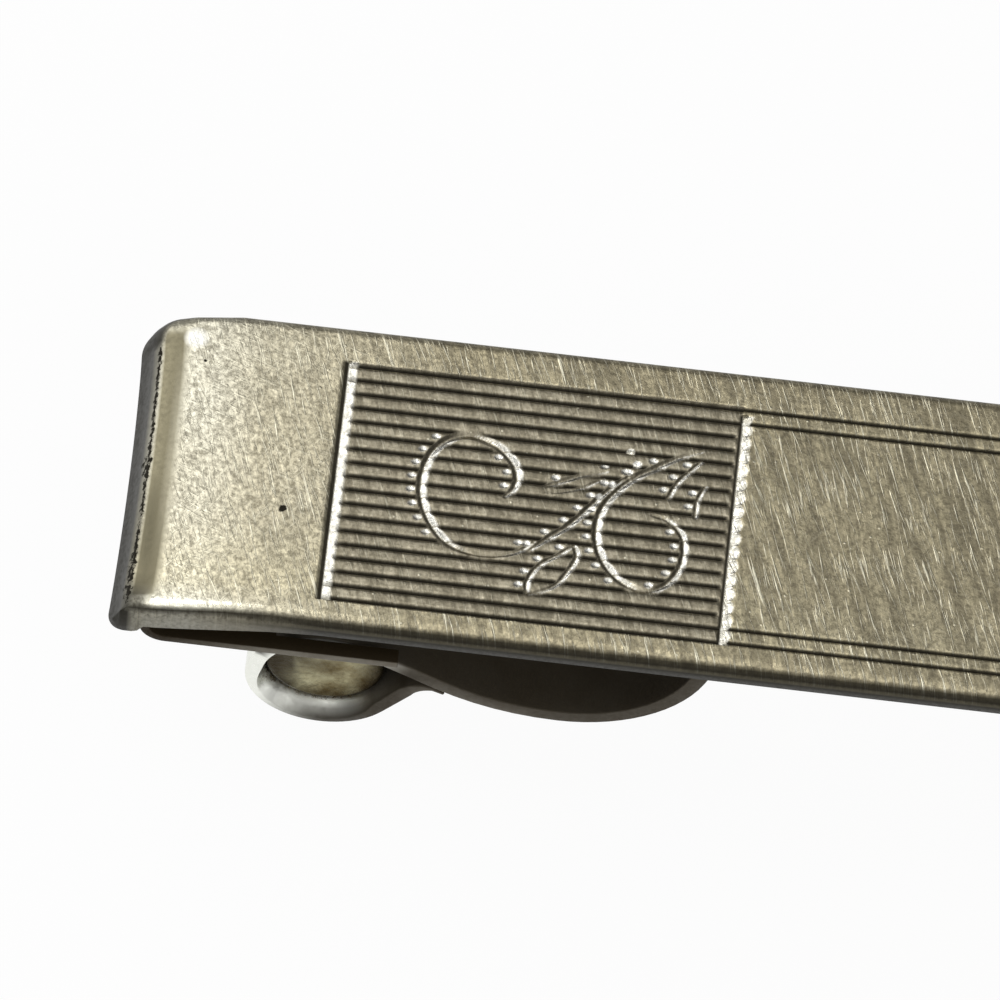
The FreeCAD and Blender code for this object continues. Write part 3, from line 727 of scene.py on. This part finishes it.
# worn, shaded and bent places of the blank: the band, outer end, far turn, sides, far rim and near side are painted
# shade, the back is darker, the line along the near edge is a painted highlight; limits in millimetres from the middle
# to the left end or a side, and up, with a share where it isn't 1; droop, skirt and taper are lengths
barWearAndShade = {
    "shadedBand": (("left", 24.6, 24.9), ("near", 4.4, 4.2), ("up", 5.9, 5.95), ("up", 6.1, 6.08)),
    "bandEnd": (("far", 4.0, 4.4, 0.8),), "outerEnd": (("left", 25.3, 25.5), ("up", 5.93, 5.88)),
    "farTurn": (("far", 3.6, 3.8), ("left", 24.2, 25.0), ("up", 6.0, 5.88)), "leftPart": (("left", 20.5, 23.5),),
    "sides": (("side", 4.66, 4.74), ("up", 5.8, 5.62)), "farRim": (("far", 4.3, 4.6, 0.65), ("up", 6.1, 6.07)),
    "nearSide": (("near", 4.5, 4.62),), "back": (("up", 5.4, 5.3, 0.5),),
    "cornerStain": (("left", 24.85, 25.25, 0.7), ("near", 3.7, 4.2), ("up", 5.5, 5.85)),
    "crease": (("left", 24.6, 24.9), ("up", 5.6, 5.88), ("up", 6.0, 5.92), ("far", 3.9, 3.5)),
    "chips": (("left", 24.6, 24.9, 0.85), ("up", 5.2, 5.55), ("up", 6.05, 5.95)),
    "chipRow": (("near", 2.5, 3.3, 0.75), ("near", 4.4, 4.2)),
    "polishedHighlight": (("near", 4.3, 4.42), ("near", 4.66, 4.56), ("left", 21.3, 24.6), ("left", 25.1, 24.85)),
    "droop": (("left", 21.8, 25.4, 0.36), ("near", 0.5, 4.4)), "skirt": (("left", 20.5, 23.0, 0.2),),
    "taper": (("left", 23.8, 25.0, 0.22), ("far", 3.0, 4.0)),
}
barMarks = {"chipAt": 0.3, "chipHalf": 0.35, "creaseEnd": 4.5, "leftSides": 0.6, "turnShade": 0.6,
            # painted shade up the near side: heights, then its share along the bar and at the left end
            "shadeUp": (5.3, 5.38, 5.62, 5.8, 5.93, 6.03), "shadeAlong": (0.5, 0.3, 0.6, 0.98, 0.9, 0.25),
            "shadeLeft": (0.6, 0.45, 0.5, 0.62, 0.95, 0.5),
            # what the bending takes along: the sides, the end and all that is above
            "side": 4.6, "end": 25.35, "above": 5.5, "skirtLow": 5.2}


# highlight along the near edge; the back darker; a stain at the near left corner and dirt in the crease
# painted shade on the band, the end wall, the sides, the far rim, the far corner and the near side; a painted
def paintBar(piece, at, wornAndShaded):
    leftPart = wornAndShaded["leftPart"] * (at["near"] > 0)
    along, atLeft = (np.interp(at["up"], barMarks["shadeUp"], barMarks[name]) for name in ("shadeAlong", "shadeLeft"))
    nearLine = wornAndShaded["nearSide"] * (along + (atLeft - along) * leftPart)
    sides = wornAndShaded["sides"] * (1 - barMarks["leftSides"] * leftPart)
    single = np.exp(-((at["near"] - barMarks["chipAt"]) / barMarks["chipHalf"]) ** 2)
    crease = np.maximum(wornAndShaded["crease"], wornAndShaded["chips"] * (single + wornAndShaded["chipRow"]))
    # painted highlight, with a smoother surface, along the near edge
    paint(piece, "polishedHighlight", wornAndShaded["polishedHighlight"])
    # painted shade on the shoulder band at the left end
    paint(piece, "shadedBand", wornAndShaded["shadedBand"] * (1 - wornAndShaded["bandEnd"]))
    # painted shade on the end wall, the far corner and the sides
    paint(piece, "edge", np.max([wornAndShaded["outerEnd"], wornAndShaded["farTurn"], sides], axis=0))
    paint(piece, "crease", crease * (at["near"] < barMarks["creaseEnd"]))
    # painted shade on the far rim and the near side, a stain at the corner and a darker back in one layer
    grimeAndShade = [wornAndShaded[name] for name in ("farRim", "cornerStain", "back")]
    paint(piece, "grimeAndShade", np.max([*grimeAndShade, nearLine, barMarks["turnShade"] * wornAndShaded["farTurn"]], axis=0))


# the near left corner is bent down a little, the back above the leaf is not, and the far left one is drawn in
def bendCorners(piece, places, at, wornAndShaded):
    side, end, above, skirtLow = (barMarks[name] for name in ("side", "end", "above", "skirtLow"))
    skin = (at["side"] > side) | (at["left"] > end) | (at["up"] > above)
    lowSide = (at["near"] > side) & (at["up"] > skirtLow) & (at["up"] < above)
    places[:, 2] -= wornAndShaded["droop"] * skin + wornAndShaded["skirt"] * lowSide
    places[:, 1] -= wornAndShaded["taper"]
    putPlaces(piece, places)


barBlank = makeBarBlank()
rowsDown = faceRows()
cutPocket(barBlank, -panel["xLow"], rowsDown[-1], rowsDown[0])
places = perVertex(barBlank, "co")
x, y, z = places.T.copy()
at = {"left": -x, "near": -y, "far": y, "side": np.abs(y), "up": z}
wornAndShaded = {name: mark(place, at) for name, place in barWearAndShade.items()}
paintBar(barBlank, at, wornAndShaded)
bendCorners(barBlank, places, at, wornAndShaded)
settle(barBlank, wornPlating, "bar", "front_bar", angle=60)

leftPanel = engravedSlab("leftPanel", panel["xLow"], panel["xHigh"], panel["columns"], panelRelief)
workOn(leftPanel)
bpy.ops.object.duplicate()
rightPanel = bpy.context.object
rightPanel.name = "rightPanel"
rightPanel.scale = (-1, 1, 1)
keepPlace()
turnOut(rightPanel, weld=0)
plainField = engravedSlab("plainField", panel["xHigh"], -panel["xHigh"], panel["fieldColumns"], fieldRelief)
for piece in (leftPanel, rightPanel, plainField):
    settle(piece, wornPlating, "bar", "front_bar", angle=60)
print("front bar done")


# strips follow a side line of straight runs and bends, drawn about the hinge axis
def walk(place, heading, moves):
    x, z = place
    turn = math.radians(heading)
    line = [(x, z)]
    for move in moves:
        if move[0] == "run":
            x, z = x + move[1] * math.cos(turn), z + move[1] * math.sin(turn)
            line.append((x, z))
            continue
        radius, angle = move[1], math.radians(move[2])
        side = 1 if angle > 0 else -1
        steps = max(2, math.ceil(abs(move[2]) / bendStep))
        centreX = x - side * radius * math.sin(turn)
        centreZ = z + side * radius * math.cos(turn)
        for step in range(1, steps + 1):
            now = turn + angle * step / steps
            line.append((centreX + side * radius * math.sin(now), centreZ - side * radius * math.cos(now)))
        turn += angle
        x, z = line[-1]
    return line


def bentStrip(name, line, columns):
    points = np.array([[(hingeX + x, y, hingeZ + z) for y in columns] for x, z in line])
    return shapedGrid(name, points)


def bothSides(edges):
    return [-edge for edge in edges] + list(edges)


def thicken(piece, thickness, edge, segments, thinGroup="", sharp=50):
    adjust(piece.modifiers.new("wall", "SOLIDIFY"), vertex_group=thinGroup, thickness=thickness, offset=0,
           use_even_offset=True)
    adjust(piece.modifiers.new("soft", "BEVEL"), width=edge, segments=segments, limit_method="ANGLE",
           angle_limit=math.radians(sharp))
    applyModifiers(piece)
    turnOut(piece)


# jaw: tail, eye, slope, belly and toothed toe in one strip
jawStrip = {"thick": 0.45, "width": 8.1, "eye": 1.215, "eyeMiddle": 1.875, "slope": 30.0, "firstRun": 1.573,
            "secondRun": 0.927, "belly": 6.5, "toeBend": 3.8, "toeAngle": 70.0, "toeRun": 1.128,
            "tailAngle": 53.0, "tailRun": 1.193, "tailBend": 0.5, "tailEnd": 0.35, "windowReach": 2.3,
            "teeth": 9, "toothDepth": 0.35, "edge": 0.17, "edgeSteps": 5, "tailThin": 0.2, "tailPower": 0.8,
            "flare": 0.3, "flareFrom": 3.6, "flareX": 1.5, "flareLean": 0.3, "flareOver": (0.2, 1.5), "rim": 3.82}


# the tail's end is hammered thin and lies close under the strip
def thinTail(piece, columns):
    j = jawStrip
    group = piece.vertex_groups.new(name="thin")
    group.add(list(range(len(piece.data.vertices))), 1.0, "REPLACE")
    tailRows = 2 + math.ceil((j["tailAngle"] + j["slope"]) / bendStep)   # both runs and the bend
    lean = math.radians(90 - j["slope"])
    for row in range(tailRows):
        share = j["tailThin"] + (1 - j["tailThin"]) * (row / tailRows) ** j["tailPower"]
        rise = (1 - share) * j["thick"] / 2
        rowVerts = list(range(row * columns, (row + 1) * columns))
        group.add(rowVerts, share, "REPLACE")
        for index in rowVerts:
            piece.data.vertices[index].co.x += rise * math.cos(lean)
            piece.data.vertices[index].co.z += rise * math.sin(lean)


# the eye's ends open like a bowl
def flareEyes(piece):
    j = jawStrip
    outer, reach = j["eyeMiddle"] + j["thick"] / 2, j["width"] / 2 - j["flareFrom"]
    for vert in piece.data.vertices:
        alongX, up = vert.co.x - hingeX, vert.co.z - hingeZ
        fromAxis, depth = math.hypot(alongX, up), (abs(vert.co.y) - j["flareFrom"]) / reach
        if depth > 0 and fromAxis < outer and alongX < j["flareX"]:
            low = float(ease(-up - j["flareLean"] * alongX, *j["flareOver"]))
            grow = 1 + j["flare"] * low * depth * (outer - fromAxis) / j["thick"] / fromAxis
            vert.co.x, vert.co.z = hingeX + alongX * grow, hingeZ + up * grow


def makeJaw():
    j = jawStrip
    leave = math.radians(90 - j["slope"])
    top = (j["eyeMiddle"] * math.cos(leave), j["eyeMiddle"] * math.sin(leave))
    back = walk(top, 180 - j["slope"], (
        ("bend", j["eyeMiddle"], 180 + j["tailAngle"] + j["slope"]), ("run", j["tailRun"]),
        ("bend", j["tailBend"], -j["tailAngle"] - j["slope"]), ("run", j["tailEnd"])))
    out = walk(top, -j["slope"], (
        ("run", j["firstRun"]), ("run", j["secondRun"]), ("bend", j["belly"], j["slope"]),
        ("bend", j["toeBend"], j["toeAngle"]), ("run", j["toeRun"] / 2), ("run", j["toeRun"] / 2)))
    half, pitch = j["width"] / 2, j["width"] / j["teeth"]
    inner = half - j["eye"]
    columns = [-half + pitch / 2 * index for index in range(2 * j["teeth"] + 1)]
    columns = sorted(columns + bothSides((inner, j["rim"])))
    piece = bentStrip("jawStrip", back[::-1] + out[1:], columns)
    toe, slack = math.radians(j["toeAngle"]), 0.01
    rows = len(back) + len(out) - 1
    for index, y in enumerate(columns):
        notch = (y + half) / pitch
        if abs(notch - round(notch)) < slack and abs(y) < half - slack:
            vert = piece.data.vertices[(rows - 1) * len(columns) + index]
            vert.co.x -= j["toothDepth"] * math.cos(toe)
            vert.co.z -= j["toothDepth"] * math.sin(toe)
    thinTail(piece, len(columns))
    dropFaces(piece, lambda c: abs(c.y) < inner and c.x - hingeX < j["windowReach"])
    thicken(piece, j["thick"], j["edge"], j["edgeSteps"], thinGroup="thin")
    flareEyes(piece)
    return piece


# painted shade and a painted highlight on the jaw, over some tarnish on the strap, by distance and turn (degrees)
# about the hinge axis: limits and share
jawShadeAndHighlight = {"eyeReach": 2.15, "eyeTurn": 100, "eyeX": 1.2, "rimReach": (1.9, 2.02), "rimY": (3.6, 3.93),
           "rimLeast": 0.05, "rimTurn": (205, 275, 0.88), "low": (300, 330, 0.9), "topTurn": 150, "topReach": 1.75,
           "top": 0.97, "paintedHighlight": (320, 290), "strapLeast": 0.55, "strapUp": (-0.5, 0.2, 0.38),
           "edgeX": (3.6, 6.0, 0.9), "edgeWay": (0.2, 0.6), "inner": (3.2, 2.2, 0.95)}


def paintJaw(piece):
    shading, (x, y, z), (wayX, wayY, wayZ) = jawShadeAndHighlight, perVertex(piece, "co").T, perVertex(piece, "normal").T
    alongX, up = x - hingeX, z - hingeZ
    fromAxis, turn = np.hypot(alongX, up), np.degrees(np.arctan2(up, alongX)) % 360
    inEye = (fromAxis < shading["eyeReach"]) & ((turn > shading["eyeTurn"]) | (alongX < shading["eyeX"]))
    rim = np.maximum(ease(fromAxis, *shading["rimReach"]), ease(np.abs(y), *shading["rimY"]))
    # painted shade on the eye's outer rim, its lower right and its top
    rimShade = np.max([rim * (shading["rimLeast"] + ease(turn, *shading["rimTurn"])), ease(turn, *shading["low"]),
                      shading["top"] * (turn < shading["topTurn"]) * (fromAxis > shading["topReach"])], axis=0)
    # painted shade on the strap, its near edge and next to the eye, over some tarnish
    edge = ease(alongX, *shading["edgeX"]) * ease(np.abs(wayY), *shading["edgeWay"])
    strapShade = np.max([shading["strapLeast"] + ease(wayZ, *shading["strapUp"]), edge, ease(alongX, *shading["inner"])], axis=0)
    paint(piece, "grimeAndShade", np.where(inEye, rimShade, strapShade))
    # painted highlight on the eye's rim
    paint(piece, "paintedHighlight", np.where(inEye, ease(turn, *shading["paintedHighlight"]), 0))


jaw = makeJaw()
paintJaw(jaw)
settle(jaw, tarnishedStrip, "jaw", "jaw", angle=50)

# hinge leaf: foot, tight fold, plate, wings past the eyes and two tongues curled on the pin
leafStrip = {"thick": 0.25, "half": 4.55, "wingIn": 4.11, "wingRun": 3.3, "tongueOut": 2.735, "tongueIn": 1.5605,
             "foot": (-2.25, 3.075), "footRun": 2.05, "fold": 0.575, "plateRun": 2.95, "dip": 6.042,
             "dipBend": 0.5, "dipRun": 1.4925, "curl": 1.775, "wrap": 300.0, "edge": 0.06, "edgeSteps": 2}


def makeLeaf():
    leaf = leafStrip
    flat = walk(leaf["foot"], 180, (("run", leaf["footRun"]), ("bend", leaf["fold"], 180), ("run", leaf["plateRun"])))
    wing = walk(flat[-1], 0, (("run", leaf["wingRun"]),))
    tongue = walk(flat[-1], 0, (("bend", leaf["dipBend"], -leaf["dip"]), ("run", leaf["dipRun"]),
                                ("bend", leaf["curl"], -leaf["wrap"])))
    edges = (leaf["tongueIn"], leaf["tongueOut"], leaf["wingIn"], leaf["half"])
    piece = bentStrip("leafStrip", flat + wing[1:], sorted(bothSides(edges)))
    reach, under = hingeX + flat[-1][0], hingeZ + flat[-1][1] + leaf["fold"]
    dropFaces(piece, lambda c: c.x > reach and c.z < under and abs(c.y) < leaf["wingIn"])
    curled = bentStrip("tongues", tongue, sorted(bothSides(edges[:2])))
    dropFaces(curled, lambda c: abs(c.y) < leaf["tongueIn"])
    workOn(piece)
    curled.select_set(True)
    bpy.ops.object.join()
    turnOut(piece)
    thicken(piece, leaf["thick"], leaf["edge"], leaf["edgeSteps"])
    return piece


# painted shade on the leaf under the bar, less of it under the plate and on its near edge
leafShade = {"plateX": (-24.6, -23.4), "underWay": (0.3, 0.9, 0.65), "edgeX": (-24.9, -23.5),
            "edgeWay": (0.5, 0.9, 0.3), "edgeZ": 4.2, "tongueZ": 1.75, "tongues": 0.3}


def paintLeaf(piece):
    shading, (x, y, z), (wayX, wayY, wayZ) = leafShade, perVertex(piece, "co").T, perVertex(piece, "normal").T
    nearEdge = ease(np.abs(wayY), *shading["edgeWay"]) * ease(x, *shading["edgeX"]) * (z < shading["edgeZ"])
    dirtAndShade = 1 - ease(x, *shading["plateX"]) * np.maximum(ease(-wayZ, *shading["underWay"]), nearEdge)
    paint(piece, "grimeAndShade", np.where(z > hingeZ + shading["tongueZ"], dirtAndShade, shading["tongues"]))


leaf = makeLeaf()
paintLeaf(leaf)
settle(leaf, tarnishedStrip, "bar", "hinge_leaf", angle=50)
print("strips done")

# hinge pin: turned wire with chamfered, slightly dished ends
pin = {"radius": 1.6, "length": 7.3, "chamfer": 0.2, "chamferSteps": 4, "sides": 72, "dishInset": 0.5, "dish": 0.06,
       # darker round the rim, and painted shade on both sides of the ends: limits and share
       "rim": (1.25, 1.5, 0.8), "left": (0.4, 0.95, 0.95), "right": (0.75, 1.15, 0.85)}


def makePin():
    startFresh()
    bpy.ops.mesh.primitive_cylinder_add(vertices=pin["sides"], radius=pin["radius"], depth=pin["length"],
                                        location=(hingeX, 0, hingeZ), rotation=(math.pi / 2, 0, 0))
    piece = bpy.context.object
    piece.name = "pinTurned"
    keepPlace()
    pickFaces(piece, lambda face: abs(face.normal.y) > 0.9)
    bpy.ops.mesh.bevel(offset=pin["chamfer"], segments=pin["chamferSteps"], affect="EDGES")
    pickFaces(piece, lambda face: abs(face.normal.y) > 0.99)
    bpy.ops.mesh.inset(thickness=pin["dishInset"], use_individual=True)
    dished = pin["radius"] - pin["chamfer"] - pin["dishInset"] / 2
    mesh = bmesh.from_edit_mesh(piece.data)
    for vert in mesh.verts:
        if vert.select and math.hypot(vert.co.x - hingeX, vert.co.z - hingeZ) < dished:
            vert.co.y -= math.copysign(pin["dish"], vert.co.y)
    bmesh.update_edit_mesh(piece.data)
    closeMesh()
    return piece


def paintPin(piece):
    x, y, z = perVertex(piece, "co").T
    at = {"rim": np.hypot(x - hingeX, z - hingeZ), "left": hingeX - x, "right": x - hingeX}
    # painted shade on both sides of each end, darker round the rim
    paint(piece, "grimeAndShade", np.max([ease(at[name], *pin[name]) for name in at], axis=0))


hingePin = makePin()
paintPin(hingePin)
settle(hingePin, pinMetal, "bar", "hinge_pin")

# torsion spring: a leg under the leaf, turns round the pin, a leg under the jaw
coil = {"wire": 0.3, "wireSides": 3, "radius": 1.85, "length": 2.121, "turns": 2, "stepAngle": 6,
        "leafEnd": (-2.5, 1.53), "jawEnd": (2.615, -0.4706)}


def coilRoute():
    radius, half = coil["radius"], coil["length"] / 2
    (leafX, leafZ), (jawX, jawZ) = coil["leafEnd"], coil["jawEnd"]
    angles = []
    for x, z, side in ((leafX, leafZ, 1), (jawX, jawZ, -1)):
        angles.append(math.degrees(math.atan2(z, x) + side * math.acos(radius / math.hypot(x, z))))
    sweep = (angles[1] - angles[0]) % 360 + 360 * coil["turns"]
    steps = int(sweep / coil["stepAngle"])
    route = [(leafX, -half, leafZ)]
    for step in range(steps + 1):
        turn = math.radians(angles[0] + sweep * step / steps)
        route.append((radius * math.cos(turn), half * (2 * step / steps - 1), radius * math.sin(turn)))
    return route + [(jawX, half, jawZ)]


def makeSpring():
    route = coilRoute()
    startFresh()
    bpy.ops.curve.primitive_nurbs_path_add()
    piece = bpy.context.object
    piece.name = "springCoil"
    curve = piece.data
    curve.splines.clear()
    spline = curve.splines.new("POLY")
    spline.points.add(len(route) - 1)
    for point, (x, y, z) in zip(spline.points, route):
        point.co = (hingeX + x, y, hingeZ + z, 1)
    adjust(curve, dimensions="3D", bevel_depth=coil["wire"] / 2, bevel_resolution=coil["wireSides"], use_fill_caps=True)
    bpy.ops.object.convert(target="MESH")
    piece = bpy.context.object
    turnOut(piece)
    return piece


spring = makeSpring()
settle(spring, springMetal, None, "torsion_spring", angle=60)
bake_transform(spring)
print("hinge done")


# floor, lamps and camera
# the floor lies low enough for the open jaw
studio = {
    "floorSize": 3.0, "floorDrop": 4.2, "floorWhite": 0.95, "floorGrey": 0.9, "floorRough": 0.9,
    # brightness of the room by height
    "sky": ((0.0, 0.03), (0.4, 0.07), (0.66, 0.25), (0.84, 0.58), (1.0, 0.64)),
    # each lamp: place, aim, width, height and level
    "boxes": {"leftBox": ((-140, 90, 85), (-16, 0, 5), 100, 100, 2.0),
              "upperBox": ((-38, 34, 58), (-23, 0, 6), 36, 44, 1.12),
              "overheadBox": ((-50, -25, 130), (-24, -4, 6), 70, 50, 2.2),
              "frontBox": ((-20, -120, 135), (-20, -4, 2), 160, 60, 1.6),
              "rightBox": ((88, -90, 65), (-20, -4, 1), 100, 80, 1.6)},
}


def makeRoom():
    world = scene.world or bpy.data.worlds.new("room")
    scene.world = world
    world.use_nodes = True
    tree = world.node_tree
    parts, shade = addNode(tree, "SeparateXYZ"), addNode(tree, "ValToRGB")
    feed(tree, parts, 0, addNode(tree, "TexCoord").outputs["Generated"])
    feed(tree, shade, 0, parts.outputs["Z"])
    feed(tree, tree.nodes["Background"], "Color", shade.outputs[0])
    while len(shade.color_ramp.elements) < len(studio["sky"]):
        shade.color_ramp.elements.new(0.5)
    for stop, (height, level) in zip(shade.color_ramp.elements, studio["sky"]):
        stop.position = height
        stop.color = (level, level, level, 1)


def makeFloor():
    startFresh()
    bpy.ops.mesh.primitive_plane_add(size=studio["floorSize"], location=(0, 0, -studio["floorDrop"] * mm))
    floor = bpy.context.object
    floor.name = "floor"
    material, tree, shader = newMetal("whiteFloor")
    grey = studio["floorGrey"]
    feed(tree, shader, "Base Color", (grey, grey, grey, 1))
    feed(tree, shader, "Roughness", studio["floorRough"])
    glow, mix = addNode(tree, "Emission"), addNode(tree, "MixShader")
    feed(tree, glow, "Color", (1, 1, 1, 1))
    seen = addNode(tree, "LightPath").outputs
    plus, times, most, less = sums(tree)
    shown = most(seen["Is Camera Ray"], most(seen["Is Glossy Ray"], seen["Is Transmission Ray"]))
    for index, socket in enumerate((times(shown, studio["floorWhite"]), shader.outputs[0], glow.outputs[0])):
        feed(tree, mix, index, socket)
    feed(tree, tree.nodes["Material Output"], "Surface", mix.outputs[0])
    floor.data.materials.append(material)


def softbox(name, place, aim, width, height, level):
    startFresh()
    spot, target = Vector(place) * mm, Vector(aim) * mm
    bpy.ops.object.light_add(type="AREA", location=spot)
    lamp = bpy.context.object
    lamp.name = name
    lamp.rotation_euler = (target - spot).to_track_quat("-Z", "Y").to_euler()
    adjust(lamp.data, shape="RECTANGLE", size=width * mm, size_y=height * mm,
           energy=level * math.pi * width * height * mm * mm)


view = {"aim": (-15.9906, -0.3027, 6.1), "azimuth": -0.1194, "elevation": 57.3425, "roll": 6.4443,
        "distance": 500.0, "lens": 675.03, "sensor": 36, "clip": (0.01, 10)}


def makeCamera():
    startFresh()
    bpy.ops.object.camera_add()
    camera = bpy.context.object
    side, rise, roll = (math.radians(view[key]) for key in ("azimuth", "elevation", "roll"))
    turned = Matrix.Rotation(-side, 4, "Z") @ Matrix.Rotation(math.pi / 2 - rise, 4, "X")
    back = Matrix.Rotation(roll, 4, "Z") @ Matrix.Translation((0, 0, view["distance"] * mm))
    camera.matrix_world = Matrix.Translation(Vector(view["aim"]) * mm) @ turned @ back
    near, far = view["clip"]
    adjust(camera.data, lens=view["lens"], sensor_width=view["sensor"], clip_start=near, clip_end=far)
    scene.camera = camera


makeRoom()
makeFloor()
for name, values in studio["boxes"].items():
    softbox(name, *values)
makeCamera()
print("studio ready")
